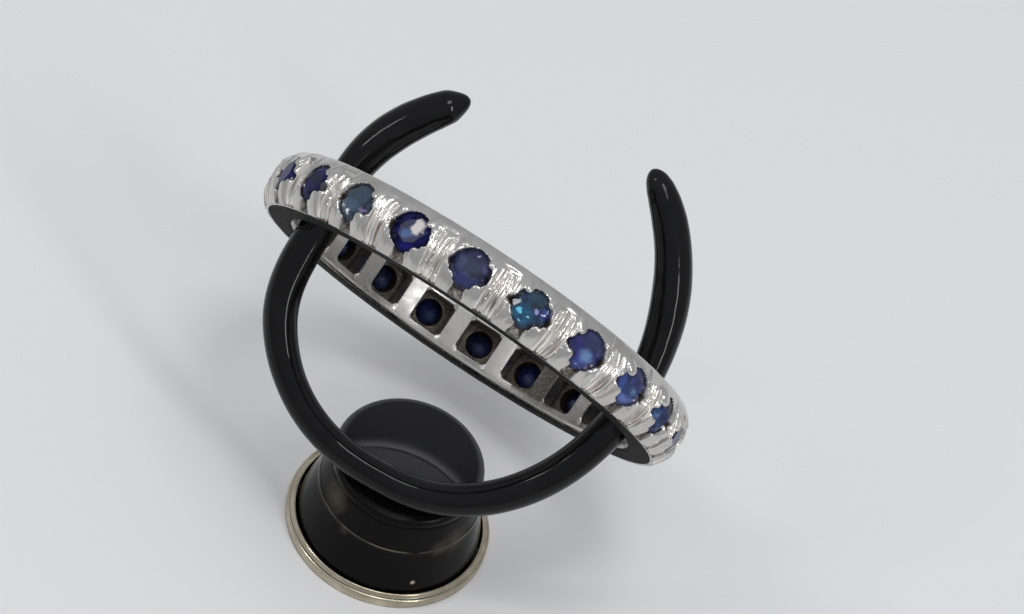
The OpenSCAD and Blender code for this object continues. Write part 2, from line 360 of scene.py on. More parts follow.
# %% White metal
def white_metal(name, roughness):
    """Polished white metal, tarnished, and with a painted highlight on the cuts, where the mesh says so."""
    material, tree, shader = new_material(name)
    blotch = noise(tree, 1400, 4, 0.6)
    lines = graver_lines(tree)
    shader.inputs["Metallic"].default_value = 1.0
    smudge = remap(tree, blotch, 0.3, 0.75, roughness * 0.7, roughness * 1.6)
    rough = calculate(tree, "MULTIPLY_ADD", mark(tree, "pit"), PIT_ROUGHNESS, smudge)
    ridges = bump(tree, times(tree, lines, mark(tree, "cut")), 0.45, RIDGE_HEIGHT)
    scratched = bump(tree, noise(tree, 5200, 5, 0.65), 0.35, SCRATCH_HEIGHT, ridges)
    paint(tree, shader, metal_colour(tree, blotch, lines), rough, scratched)
    return material


band_metal = white_metal("white_metal_outside", 0.19)
inner_metal = white_metal("white_metal_inside", 0.24)
print("white metals", band_metal.name, inner_metal.name)

# %% [markdown]
# The outside of the band is one sheet of metal that a jeweller has cut into. A grid round the
# band holds its height above the finger, and each feature lowers or raises that height: the
# dome, the valleys, the graver's lines, the notches, the pits and the claws. A sheet like this
# gives soft, slightly uneven forms that sharp boolean cuts can't give. It is fine enough that a
# step between two lines is about one pixel.

# %% Claws of the outside, with the ones in view listed one by one
# Columns: how far the back left, back right, front left and front right claws reach over the
# stone, in mm, seen with the back edge of the band at the top.
CLAW_REACH = [
    [0.04, 0.22, 0.04, 0.34],
    [0.04, 0.30, 0.04, 0.34],
    [0.04, 0.26, 0.06, 0.38],
    [0.06, 0.26, 0.10, 0.24],
    [0.12, 0.24, 0.22, 0.26],
    [0.30, 0.24, 0.14, 0.28],
    [0.26, 0.08, 0.32, 0.14],
    [0.36, 0.05, 0.34, 0.08],
    [0.34, 0.04, 0.36, 0.06],
    [0.32, 0.04, 0.34, 0.06],
]
BEAD_REACH = 0.32  # a back claw that reaches this far was pushed up into a round bead


def claws_of(k):
    """Four claws of stone k: tip and root along and across the band, radius, edge, bead or not."""
    luck = np.random.default_rng(100 + k)
    reach = CLAW_REACH[k] if k < len(CLAW_REACH) else 0.22 + 0.08 * luck.uniform(-1, 1, 4)
    found = []
    for i, (side, edge) in enumerate([(-1, -1), (1, -1), (-1, 1), (1, 1)]):
        radius = (0.27 if edge > 0 else 0.24) * luck.uniform(0.9, 1.12)
        tilt = math.radians(46 + luck.uniform(-6, 6))
        out = STONE_R + radius - reach[i]
        tip = (side * out * math.cos(tilt), edge * out * math.sin(tilt))
        spread = 0.08 if edge > 0 else 0.30
        root = (tip[0] + side * spread, edge * (HALF_W + 0.2))
        if edge < 0 and reach[i] >= BEAD_REACH:
            radius *= 1.25
            root = (tip[0] + 0.12 * side, tip[1] - 0.10)
        found.append((tip, root, radius, edge, edge < 0 and reach[i] >= BEAD_REACH))
    return found


print("claws on stone 1:", len(claws_of(0)))

# %% Dome, valleys and graver's cuts
VALLEY_W = 1.10
VALLEY_DEPTH = 0.10
WORN_VALLEYS = {0: (1.5, 0.28), 1: (1.3, 0.20)}  # width and depth of two that are worn down
HALF_PITCH = PITCH / 2 * TABLE_LEVEL


def dome(across):
    """Distance of the plain domed band from the ring's axis."""
    return DOME_MIDDLE + np.sqrt(DOME_R ** 2 - across ** 2)


def graver_cuts(along, across, k):
    """Depth of the graver's cuts in the valley after stone k: slanted flats side by side."""
    luck = np.random.default_rng(300 + k)
    depth = np.zeros_like(along)
    count = int(luck.integers(5, 8))
    lean = luck.choice([-1, 1])
    for place in np.linspace(-0.42, 0.42, count):
        half = 0.46 / count * luck.uniform(0.9, 1.3)
        slope = luck.uniform(-0.14, 0.14)
        start = luck.uniform(-0.84, -0.64)
        end = luck.uniform(1.1, 2.2)
        deep = luck.uniform(0.035, 0.07)
        x = (along - place - slope * across) / half
        flat = np.where(np.abs(x) < 1, 0.5 + 0.5 * lean * x, 0)
        inside = ramp(across, start, start + 0.12) * (1 - ramp(across, end, end + 0.08))
        depth = np.maximum(depth, deep * flat * inside)
    return depth


def cut_valleys(k, along, across, height):
    """Lowers the height into the valleys on both sides of stone k, and marks the cuts."""
    cut = np.zeros_like(along)
    for side, valley in ((-1, (k - 1) % STONES), (1, k)):
        from_middle = along - side * HALF_PITCH
        inside = ramp(across, -HALF_W + 0.26, -HALF_W + 0.46)
        width, depth = WORN_VALLEYS.get(valley, (VALLEY_W, VALLEY_DEPTH))
        bowl = np.clip(1 - (from_middle / (width / 2)) ** 2, 0, 1)
        cuts = graver_cuts(from_middle, across, valley)
        height = height - inside * depth * bowl - cuts
        cut = np.maximum(cut, np.clip(cuts / 0.02, 0, 1))
    return height, cut


print("a valley comes every", round(2 * HALF_PITCH, 2), "mm")

# %% Openings, pits and notches
OPENING_R = STONE_R - 0.09
OPENING_LEVEL = GIRDLE_LEVEL + 0.07
SEAT_LEVEL = GIRDLE_LEVEL - 0.05 - 0.03
NOTCH_LEVEL = SHOULDER_R - 0.06
PIT_DEPTH = 0.5


def opening_edge(k, along, across):
    """Distance outside the slightly uneven edge of the opening that stone k shows through."""
    round_it = np.arctan2(across, along) * 0.9 + 9 * k
    uneven = 0.016 * lumps(round_it, np.full_like(along, k), 0.14, 31)
    return np.hypot(1.05 * along, across) - OPENING_R - uneven


def sink_pits(k, along, across, height, cut):
    """Sinks a dark wedge at each end of stone k, and a rough notch between it and the front edge."""
    luck = np.random.default_rng(500 + k)
    long = np.where(along < 0, luck.uniform(0.16, 0.36), luck.uniform(0.08, 0.30))
    beyond = np.abs(along) - OPENING_R
    wedge = np.clip(1 - beyond / long, 0, 1) * np.clip(1 - np.abs(across - 0.10) / 0.22, 0, 1)
    wedge = np.where(beyond > 0, wedge, 0)
    height = height - PIT_DEPTH * wedge
    pit = ramp(wedge, 0.05, 0.25)
    cut = cut * (1 - pit)

    wide = 0.23 + 0.10 * ramp(across, 0.85, HALF_W)
    notch = ramp(wide - np.abs(along), -0.03, 0.03) * ramp(across, 0.64, 0.74)
    rough = 0.03 * lumps(along + 11 * k, across, 0.09, 21)
    height = height * (1 - notch) + (NOTCH_LEVEL + 0.05 + rough) * notch
    pit = np.maximum(pit, notch * (0.8 + 0.2 * lumps(along + 3 * k, across, 0.12, 22)))
    return height, pit, cut


print("opening over a stone in mm", round(2 * OPENING_R, 2))


# %% Claws
def claw_height(along, across, tip, root, radius, edge, bead):
    """Top of one claw, and how far inside its outline each point is, as a share of its radius."""
    run = np.array(root) - tip
    share = np.clip(((along - tip[0]) * run[0] + (across - tip[1]) * run[1]) / (run @ run), 0, 1)
    away = np.hypot(along - tip[0] - share * run[0], across - tip[1] - share * run[1]) / radius
    if bead:
        height, power, lift = 0.26, 2, 0.11
    elif edge > 0:
        height, power, lift = 0.30, 4, 0.03
    else:
        height, power, lift = 0.26, 2.4, 0.06 * (1 - share)
    fall = height * (1 - np.sqrt(np.clip(1 - away ** power, 0, 1)))
    return dome(across) + lift - fall, 1 - away


def raise_claws(k, along, across, height, pit, cut):
    """Raises the four claws of stone k, each clean on top, with a dark crease round it."""
    near_stone = 1 - ramp(np.hypot(along, across), STONE_R + 0.25, STONE_R + 0.5)
    for tip, root, radius, edge, bead in claws_of(k):
        top, within = claw_height(along, across, tip, root, radius, edge, bead)
        crease = np.exp(-((within + 0.07) / 0.07) ** 2) * near_stone
        pit = np.maximum(pit, 0.75 * crease * (top > height - 0.02))
        share = ramp(within, 0.0, 0.14)
        top = height + (top - height) * share
        over = (within > 0) & (top > height)
        height = np.where(over, top, height)
        pit = np.where(over, pit * (1 - share), pit)
        cut = np.where(over, cut * (1 - share), cut)
    return height, pit, cut


def outside_height(k, along, across):
    """Radius of the metal near stone k, and the marks for tarnish and for the cuts, which get a painted
    highlight.
    """
    height = dome(across) + 0.010 * lumps(along + 5 * k, across, 0.4, 7)
    height, cut = cut_valleys(k, along, across, height)
    rim = opening_edge(k, along, across)
    height = np.minimum(height, OPENING_LEVEL + 3.0 * np.clip(rim, 0, None))
    height, pit, cut = sink_pits(k, along, across, height, cut)
    seat = SEAT_LEVEL - 0.85 * np.clip(STONE_R - np.hypot(along, across), 0, None)
    open_share = 1 - ramp(rim, -0.05, 0.0)
    height = height * (1 - open_share) + seat * open_share
    pit = np.maximum(pit, 0.9 * open_share)
    return raise_claws(k, along, across, height, pit, cut)


near_first = outside_height(0, *np.mgrid[-1:1:40j, -1:1:40j])[0]
print("highest metal by stone 1 in mm", round(float(near_first.max()), 2))

# %% [markdown]
# Now the sheet is worked out stone by stone and joined into a closed loop. The first and last
# few lines lie close together, so the edges are crisp, and small nicks are taken out of the
# front edge. Over each stone's middle the faces are left out, because the stone fills the hole.

# %% Mesh of the outside
LINES_PER_STONE = 80
LINES_ACROSS = 62
HOLE_R = 0.6
EDGE_DROP = 0.03
NICK_DEPTH = 0.05
edge_lines = np.array([-HALF_W, -HALF_W + 0.012, -HALF_W + 0.03])
main_lines = np.linspace(-HALF_W + 0.06, HALF_W - 0.06, LINES_ACROSS - 6)
across_lines = np.concatenate([edge_lines, main_lines, -edge_lines[::-1]])
steps = (np.arange(LINES_PER_STONE) + 0.5) / LINES_PER_STONE - 0.5
along, across = np.meshgrid(steps * 2 * HALF_PITCH, across_lines, indexing="ij")
edge = HALF_W - np.abs(across)
points = []
marks = {"pit": [], "cut": [], "along": [], "across": []}
for k in range(STONES):
    height, pit, cut = outside_height(k, along, across)
    height = height - EDGE_DROP * (1 - ramp(edge, 0, 0.035))
    nick = 0.5 + 0.5 * lumps(along + 7 * k, along * 0, 0.10, 51)
    height = height - np.where((across > 0) & (edge < 0.05), NICK_DEPTH * nick ** 3, 0)
    points.append(ring_point(stone_angle(k) + along / TABLE_LEVEL, across, height))
    for mark_name, values in zip(marks, (pit, cut, along + 2 * HALF_PITCH * k, across)):
        marks[mark_name].append(values)
marks = {mark_name: np.concatenate(values).reshape(-1) for mark_name, values in marks.items()}
throat = np.tile((np.hypot(along, across) < HOLE_R).reshape(-1), STONES)
faces = grid_faces(STONES * LINES_PER_STONE, len(across_lines), wrap_rows=True)
faces = faces[~throat[faces].all(axis=1)]
ring_outside = add_mesh("ring_outside", np.concatenate(points).reshape(-1, 3), faces, 50, marks)
ring_outside.data.materials.append(band_metal)
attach(ring_outside, "root")

# %% [markdown]
# The inside of the band has a square window behind each stone and a round throat in the middle
# of each window. These have flat floors and upright walls, so the grid's lines are placed on
# the edges themselves and doubled there: one copy stays on the inner face and the other drops
# to the floor. Near a window the grid is drawn in at the corners, and round the throat it is
# drawn into a circle.

# %% Lines of the inside's grid
# Each line has a level, from 0 on the inner face to 3 in the throat. The lower number counts
# where two lines cross.
WINDOW = 0.78
THROAT_R = 0.62
FLOOR_R = FINGER_R + 0.8
THROAT_END_R = FLOOR_R + 0.38
COMFORT_R = 0.25
COMFORT_STEPS = 6
BEVEL = 0.035
LAND, LIP, FLOOR, DEEP = range(4)
half_window = [(-WINDOW - BEVEL, LAND), (-WINDOW, LIP)]
half_window += [(-v, FLOOR) for v in (WINDOW, 0.70, THROAT_R)]
window_lines = half_window + [(v, DEEP) for v in np.linspace(-THROAT_R, THROAT_R, 13)]
window_lines += [(-v, level) for v, level in half_window[::-1]]
edge_along = FINGER_R * math.sin(PITCH / 2)
lands = [(-v, LAND) for v in np.linspace(edge_along, WINDOW + BEVEL, 6)[:-1]]
along_lines = lands + window_lines + [(-v, level) for v, level in lands[1:][::-1]]
side_levels = np.array([SHOULDER_R - 0.03, SHOULDER_R - 0.09, SHOULDER_R - 0.15, 9.3, 8.95])
profile = [(-HALF_W, radius, None) for radius in side_levels]
for turn_a in np.radians(np.linspace(0, 90, COMFORT_STEPS)):
    inward, down = 1 - math.cos(turn_a), 1 - math.sin(turn_a)
    profile.append((-HALF_W + COMFORT_R * inward, FINGER_R + COMFORT_R * down, None))
side = profile[:]
profile += [(v, FINGER_R, level) for v, level in window_lines]
profile += [(-v, radius, None) for v, radius, _ in side[::-1]]
print("grid of the inside:", STONES * len(along_lines), "by", len(profile), "lines")

# %% Form of the inside
DARK_REFLECTION_LANDS = ((13, True), (14, False))  # the land between these two windows gets a painted dark reflection


def rounded(along, across):
    """Draws the grid in at a window's corners and into a circle round its throat."""
    big = np.maximum(np.maximum(np.abs(along), np.abs(across)), 1e-9)
    small = np.minimum(np.abs(along), np.abs(across))
    corner = 1 - 0.10 * (small / big) ** 10 * (1 - ramp(big, WINDOW, WINDOW + 0.2))
    circle = big / np.maximum(np.hypot(along, across), 1e-9)
    pull = 1 - ramp(big, THROAT_R, WINDOW - 0.02)
    scale = corner * (1 - pull) + circle * pull
    return along * scale, across * scale


def inside_spot(along, across, radius, level, shift):
    """Angle from the stone, place across the band and radius of one crossing of the grid."""
    if level is None:
        return math.asin(along / FINGER_R), across, radius
    near = 1 - ramp(max(abs(along), abs(across)), WINDOW, WINDOW + 0.2)
    along, across = rounded(np.float64(along), np.float64(across))
    along, across = along + shift[0] * near, across + shift[1] * near
    if level in (LAND, LIP):
        return math.asin(along / FINGER_R), across, FINGER_R + (0.03 if level == LIP else 0)
    straight = FLOOR_R if level == FLOOR else THROAT_END_R
    return math.atan2(along, straight), across, math.hypot(along, straight)


def painted_dark_side_share(across, radius):
    """1 on the front side face, which gets a painted dark reflection and shade, and 0 elsewhere."""
    black = ramp(radius, FINGER_R + 0.02, FINGER_R + 0.10)
    black *= 1 - ramp(radius, SHOULDER_R - 0.14, SHOULDER_R - 0.08)
    return black if across > 0 else 0.0


points, pits, cuts, painted_darks, deep = [], [], [], [], []
for k in range(STONES):
    shift = np.random.default_rng(700 + k).uniform(-0.03, 0.03, 2)
    for along, along_level in along_lines:
        # One land between two windows gets a painted dark reflection through the same mark as the tarnish.
        land_tarnish_and_painted_dark = 0.9 if (k, along > 0) in DARK_REFLECTION_LANDS else 0.12
        tarnish_and_painted_dark = {None: 0.0, LAND: land_tarnish_and_painted_dark, LIP: 0.0, FLOOR: 0.95, DEEP: 1.0}
        for across, radius, across_level in profile:
            level = None if across_level is None else min(across_level, along_level)
            angle, w, r = inside_spot(along, across, radius, level, shift)
            points.append((stone_angle(k) + angle, w, r))
            pits.append(tarnish_and_painted_dark[level])
            # The lip of each window carries the cut mark, so it gets the cuts' painted highlight.
            cuts.append(1.0 if level == LIP else 0.0)
            painted_darks.append(painted_dark_side_share(across, radius) if level is None else 0.0)
            deep.append(level == DEEP)
print("crossings worked out:", len(points))

# %% Mesh of the inside and the two flat sides
table = np.array(points)
points = ring_point(table[:, 0], table[:, 1], table[:, 2])
faces = grid_faces(STONES * len(along_lines), len(profile), wrap_rows=True)[:, ::-1]
deep = np.array(deep)
faces = faces[~deep[faces].all(axis=1)]
points, faces, first = merged(points, faces)
marks = {"pit": np.array(pits)[first], "cut": np.array(cuts)[first]}
# Faces on the front side face get the painted dark reflection and shade.
painted_dark_point = np.array(painted_darks)[first] > 0.5
painted_dark_faces = [face for face in faces if painted_dark_point[face].all()]
plain_faces = [face for face in faces if not painted_dark_point[face].all()]
ring_inside = add_mesh("ring_inside", points, plain_faces, 30, marks)
ring_side = add_mesh("ring_side_painted_dark", points, painted_dark_faces, 30)
ring_inside.data.materials.append(inner_metal)
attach(ring_inside, "root")
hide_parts("ring_band")
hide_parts("ring_band")

# %% [markdown]
# The front side face of the band gets a painted dark reflection and shade in its colour. Bare metal mirrors
# the pale floor when it is seen along its surface, whatever its colour, so this side is given a dull dark
# skin that is no longer a metal, with a fine and uneven grain.

# %% Side of the band with a painted dark reflection
SIDE_PAINTED_DARK = (0.006, 0.006, 0.006, 1)
SIDE_PAINTED_DARK_GRAIN = (0.035, 0.032, 0.028, 1)
material, tree, shader = new_material("side_painted_dark_reflection")
grain = noise(tree, 2600, 4, 0.6)
painted_dark_skin = blend_colour(tree, remap(tree, grain, 0.52, 0.72), SIDE_PAINTED_DARK, SIDE_PAINTED_DARK_GRAIN)
paint(tree, shader, painted_dark_skin, remap(tree, grain, 0.3, 0.7, 0.5, 0.7), bump(tree, grain, 0.3, 0.00002))
shader.inputs["Specular IOR Level"].default_value = 0.05
ring_side.data.materials.append(material)
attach(ring_side, "root")
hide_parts("ring_band")
print("blackened side", len(ring_side.data.polygons), "faces")

# %% [markdown]
# The stones are sapphires, from steel blue to deep indigo. The solids already have a table, stars, kites
# and halves, so they stay. What tells one stone from another is how it throws the light: each shows a few
# pale, dark or cloudy patches on a deep ground. A real cut stone does this by bending light many times,
# which is slow and noisy to render. Oval patches placed in each stone's own two directions give the same
# picture and look right from any side.

# %% Looks of the stones in view
# For each stone: colour of its ground, then its patches. A patch has its middle along and across
# the band, its half length and half width, all in mm, and its colour.
# The patches are painted light: painted reflections, glints and shade in the stone, laid over some of its
# own colour zones.
STONE_LOOKS = [
    [(0.017, 0.017, 0.080), [
        (0.80, -0.05, 0.50, 0.21, (0.030, 0.030, 0.122)),
        (-0.60, -0.29, 0.60, 0.20, (0.030, 0.030, 0.095)),
        (-0.11, 0.46, 0.72, 0.18, (0.019, 0.018, 0.075))]],
    [(0.016, 0.016, 0.056), [
        (-0.12, -0.47, 0.44, 0.22, (0.032, 0.032, 0.117)),
        (-0.07, -0.13, 0.44, 0.22, (0.025, 0.032, 0.045)),
        (-0.27, 0.56, 0.45, 0.25, (0.034, 0.027, 0.089))]],
    [(0.018, 0.034, 0.058), [
        (-0.27, -0.18, 0.60, 0.38, (0.036, 0.066, 0.098)),
        (-0.23, 0.29, 0.39, 0.25, (0.068, 0.112, 0.188)),
        (0.49, 0.23, 0.15, 0.10, (0.188, 0.156, 0.305)),
        (-0.17, 0.51, 0.12, 0.07, (0.83, 0.91, 1.0))]],
    [(0.007, 0.009, 0.060), [
        (-0.06, 0.21, 0.22, 0.22, (0.048, 0.107, 0.283)),
        (0.12, 0.61, 0.35, 0.22, (0.016, 0.019, 0.162)),
        (0.20, -0.28, 0.25, 0.34, (0.66, 0.62, 0.61))]],
    [(0.014, 0.018, 0.072), [
        (-0.07, -0.10, 0.44, 0.40, (0.072, 0.107, 0.181)),
        (-0.24, 0.49, 0.29, 0.31, (0.025, 0.037, 0.162)),
        (-0.23, -0.57, 0.45, 0.30, (0.010, 0.010, 0.058)),
        (0.40, -0.26, 0.20, 0.27, (0.068, 0.068, 0.162)),
        (0.02, -0.54, 0.08, 0.06, (0.40, 0.43, 0.61))]],
    [(0.008, 0.026, 0.060), [
        (0.02, -0.44, 0.39, 0.37, (0.027, 0.072, 0.122)),
        (-0.22, 0.36, 0.43, 0.41, (0.012, 0.117, 0.231)),
        (0.64, -0.15, 0.24, 0.24, (0.045, 0.061, 0.270)),
        (0.07, -0.19, 0.21, 0.17, (0.006, 0.010, 0.013)),
        (0.45, 0.60, 0.25, 0.20, (0.003, 0.009, 0.016)),
        (0.23, -0.02, 0.11, 0.11, (0.305, 0.305, 0.610)),
        (-0.41, 0.27, 0.12, 0.07, (0.156, 0.610, 0.831)),
        (0.05, 0.33, 0.06, 0.06, (0.515, 0.753, 1.0)),
        (-0.19, 0.61, 0.05, 0.05, (0.156, 0.578, 0.753)),
        (0.57, -0.12, 0.06, 0.06, (0.680, 0.753, 1.0)),
        (0.65, -0.31, 0.05, 0.05, (0.376, 0.546, 0.831))]],
    [(0.014, 0.018, 0.095), [
        (0.11, -0.36, 0.51, 0.40, (0.025, 0.037, 0.102)),
        (-0.61, 0.02, 0.28, 0.29, (0.019, 0.019, 0.162)),
        (0.05, 0.60, 0.36, 0.24, (0.045, 0.072, 0.342)),
        (0.11, 0.22, 0.26, 0.25, (0.138, 0.238, 0.445)),
        (-0.05, 0.66, 0.06, 0.06, (0.260, 0.350, 0.830))]],
    [(0.016, 0.026, 0.115), [
        (0.13, -0.46, 0.57, 0.36, (0.023, 0.034, 0.133)),
        (-0.29, 0.16, 0.46, 0.32, (0.037, 0.080, 0.314)),
        (-0.03, 0.55, 0.32, 0.22, (0.089, 0.156, 0.456)),
        (0.17, 0.10, 0.20, 0.12, (0.107, 0.202, 0.296))]],
    [(0.020, 0.028, 0.080), [
        (-0.27, 0.07, 0.60, 0.33, (0.032, 0.054, 0.175)),
        (-0.60, 0.08, 0.30, 0.18, (0.122, 0.216, 0.413)),
        (0.35, -0.54, 0.50, 0.24, (0.072, 0.072, 0.089)),
        (0.46, 0.49, 0.50, 0.22, (0.072, 0.089, 0.195)),
        (0.12, 0.00, 0.40, 0.22, (0.012, 0.021, 0.080))]],
    [(0.028, 0.034, 0.090), [
        (0.14, -0.50, 0.70, 0.21, (0.040, 0.050, 0.120)),
        (0.10, 0.20, 0.50, 0.24, (0.050, 0.062, 0.150))]],
]
print("stones with looks of their own:", len(STONE_LOOKS))


def look_of(k):
    """Look of stone k. Those out of the camera's view get two patches each, by chance."""
    if k < len(STONE_LOOKS):
        return STONE_LOOKS[k]
    luck = np.random.default_rng(900 + k)
    ground, patches = STONE_LOOKS[int(luck.integers(2, 9))]
    by_chance = []
    for patch in patches[:2]:
        by_chance.append((*luck.uniform(-0.4, 0.4, 2), *luck.uniform(0.2, 0.5, 2), patch[4]))
    return [ground, by_chance]


# %% Places on a stone
SOFT_GLOSS = (0, 1, 3, 8, 9)  # stones whose tables would mirror the sky straight at the camera
# Painted highlight and painted shade on the back of a stone, seen through its window, and painted shade at
# its edge.
BACK_PAINTED_HIGHLIGHT = (0.045, 0.065, 0.14, 1)
BACK_PAINTED_SHADE = (0.003, 0.004, 0.012, 1)
BACK_HIGHLIGHT_PATCH = (-0.12, 0.16, 0.22, 0.18)
EDGE_PAINTED_SHADE = (0.002, 0.003, 0.012, 1)
RAGGED = 0.44  # how far the patches' edges are moved about, in mm


def stone_place(tree, k):
    """Place on stone k in mm: along and across the band from its middle, and up from its girdle."""
    middle = ring_point(stone_angle(k), 0.0, GIRDLE_LEVEL)
    upward = ring_point(stone_angle(k), 0.0, GIRDLE_LEVEL + 1) - middle
    to_front = ring_point(stone_angle(k), 1.0, GIRDLE_LEVEL) - middle
    from_middle = calculate_vector(tree, "SUBTRACT", own_place(tree), tuple(middle * MM))
    found = []
    for direction in (np.cross(upward, to_front), to_front, upward):
        found.append(calculate_vector(tree, "DOT_PRODUCT", from_middle, tuple(direction / MM)))
    return found


def patch_share(tree, place, patch, soft=0.45):
    """1 inside an oval patch and 0 outside it."""
    along, across, half_long, half_wide = patch[:4]
    size = (1 / half_long, 1 / half_wide, 1)
    shift = (-along / half_long, -across / half_wide, 0)
    oval = add_node(tree, "ShaderNodeMapping", Vector=place, Scale=size, Location=shift)
    away = calculate_vector(tree, "LENGTH", oval.outputs[0])
    return remap(tree, away, 1 - soft, 1 + soft, 1.0, 0.0)


def facet_chance(tree, seed):
    """A value by chance for each facet, broken up by small cells inside the stone."""
    facing = tree.nodes.new("ShaderNodeNewGeometry").outputs["True Normal"]
    moved = calculate_vector(tree, "ADD", facing, (seed * 1.7, seed * 0.9, seed * 2.3))
    stepped = calculate_vector(tree, "SNAP", moved, (0.02, 0.02, 0.02))
    facet = add_node(tree, "ShaderNodeTexWhiteNoise", {"noise_dimensions": "3D"}, Vector=stepped)
    cells = add_node(tree, "ShaderNodeTexVoronoi", Vector=own_place(tree), Scale=2600 + 40 * seed)
    grey = add_node(tree, "ShaderNodeRGBToBW", Color=cells.outputs["Color"])
    by_facet = remap(tree, facet.outputs["Value"], 0.1, 1.0, 0.0, 0.5)
    by_cell = remap(tree, grey.outputs[0], 0.3, 0.8, 0.0, 0.5)
    return calculate(tree, "ADD", by_facet, by_cell)


def ragged_place(tree, flat_place, k):
    """Place on stone k, moved about by cloudy noise, so that the patches get ragged edges."""
    cloud = add_node(tree, "ShaderNodeTexNoise", Vector=flat_place, Scale=3.2 + 0.1 * k, Detail=3.0)
    back = (-RAGGED / 2, -RAGGED / 2, 0)
    centred = add_node(tree, "ShaderNodeMapping", Vector=flat_place, Location=back).outputs[0]
    return calculate_vector(tree, "MULTIPLY_ADD", cloud.outputs["Color"], (RAGGED, RAGGED, 0), centred)


print("dark edge", EDGE_PAINTED_SHADE[:3], "and dark back", BACK_PAINTED_SHADE[:3])


# %% Colour of a stone
def stone_colour(tree, k):
    """A deep ground, lighter or darker by facets as painted light, then the patches of painted light, a
    painted shade at the edge, a painted shade on the back and a painted highlight there.
    """
    ground, patches = look_of(k)
    along, across, height = stone_place(tree, k)
    flat_place = add_node(tree, "ShaderNodeCombineXYZ", X=along, Y=across).outputs[0]
    ragged = ragged_place(tree, flat_place, k)
    chance = facet_chance(tree, k + 1)
    # Lighter and darker copies of the ground, chosen by facet, stand in for light caught by the facets:
    # painted light.
    darker = (*(0.35 * c for c in ground), 1)
    lighter = (*(2.4 * c for c in ground), 1)
    colour = blend_colour(tree, chance, darker, lighter)
    front = remap(tree, height, -0.10, -0.04)
    shown = times(tree, front, remap(tree, chance, 0.1, 0.6, 0.35, 1.0))
    for patch in patches:
        crisp = patch[2] < 0.16 or patch[4][0] > 0.5
        seen = front if crisp else shown
        share = times(tree, patch_share(tree, ragged, patch, 0.25 if crisp else 0.45), seen)
        colour = blend_colour(tree, share, colour, (*patch[4], 1))
    at_edge = remap(tree, calculate_vector(tree, "LENGTH", flat_place), 0.66, 0.88, 0.0, 0.75)
    colour = blend_colour(tree, at_edge, colour, EDGE_PAINTED_SHADE)
    behind = remap(tree, height, -0.10, -0.04, 1.0, 0.0)
    colour = blend_colour(tree, remap(tree, behind, 0, 1, 0, 0.65), colour, BACK_PAINTED_SHADE)
    back_highlight = times(tree, patch_share(tree, ragged, BACK_HIGHLIGHT_PATCH, 0.8), behind)
    return blend_colour(tree, back_highlight, colour, BACK_PAINTED_HIGHLIGHT)


# %% Sapphires
def sapphire(k):
    """Polished blue stone k in its own colour, with painted light."""
    material, tree, shader = new_material(f"sapphire_{k + 1:02d}")
    paint(tree, shader, stone_colour(tree, k), 0.06, bump(tree, noise(tree, 2600, 2, 0.5), 0.12, 0.00002))
    shader.inputs["IOR"].default_value = 1.77
    shader.inputs["Specular IOR Level"].default_value = 0.03 if k in SOFT_GLOSS else 0.25
    return material


for k in range(STONES):
    stone = nodes[f"stone_{k + 1:02d}"]
    stone.data.materials.clear()
    stone.data.materials.append(sapphire(k))
print("stones given their own colours:", STONES)

# %% [markdown]
# The clip is a thick wire dipped in glossy black, bent into an open loop. It was bent by hand:
# the left arm bulges out below the ring, its tip is drawn in and blunt, and the right tip is
# drawn out like a horn. A tube swept along the same curve as the solid keeps its place, with
# enough sides to look round.

# %% Curve of the clip
ROD_R = 0.76
CLIP_HALF_W = FINGER_R - ROD_R - 0.1
CLIP_HALF_H = 9.05
CLIP_TURN = math.radians(-3.5)
LEFT_TIP_A = 145
RIGHT_TIP_A = 146.5
LEFT_BELLY = 0.95
LEFT_HOOK = 0.5
BELLY_START, BELLY_TURN, BELLY_END, HOOK_START = 5, 60, 95, 106  # turns from the foot in degrees


def way(turn, start, end):
    """Share of the way from start to end."""
    return np.clip((turn - start) / (end - start), 0, 1)


def left_bend(turn):
    """How far the left arm lies outside its oval, at a turn in degrees from the foot."""
    rise = np.sin(math.pi / 2 * way(turn, BELLY_START, BELLY_TURN)) ** 1.5
    fall = (1 + np.cos(math.pi * way(turn, BELLY_TURN, BELLY_END))) / 2
    hook = (1 - np.cos(math.pi * way(turn, HOOK_START, LEFT_TIP_A))) / 2
    return LEFT_BELLY * np.where(turn < BELLY_TURN, rise, fall) - LEFT_HOOK * hook


rod_rings = 260
share = np.sin(np.linspace(-math.pi / 2, math.pi / 2, rod_rings))
turns = share * np.where(share < 0, LEFT_TIP_A, RIGHT_TIP_A)
turn_a = np.radians(turns)
middle = np.stack([CLIP_HALF_W * np.sin(turn_a), CLIP_HALF_H * (1 - np.cos(turn_a))], axis=1)
outward = np.stack([CLIP_HALF_H * np.sin(turn_a), -CLIP_HALF_W * np.cos(turn_a)], axis=1)
outward = outward / np.linalg.norm(outward, axis=1, keepdims=True)
middle = middle + np.where(turns < 0, left_bend(-turns), 0)[:, None] * outward
print("widest point of the left arm in mm", round(float(middle[:, 0].min()), 2))

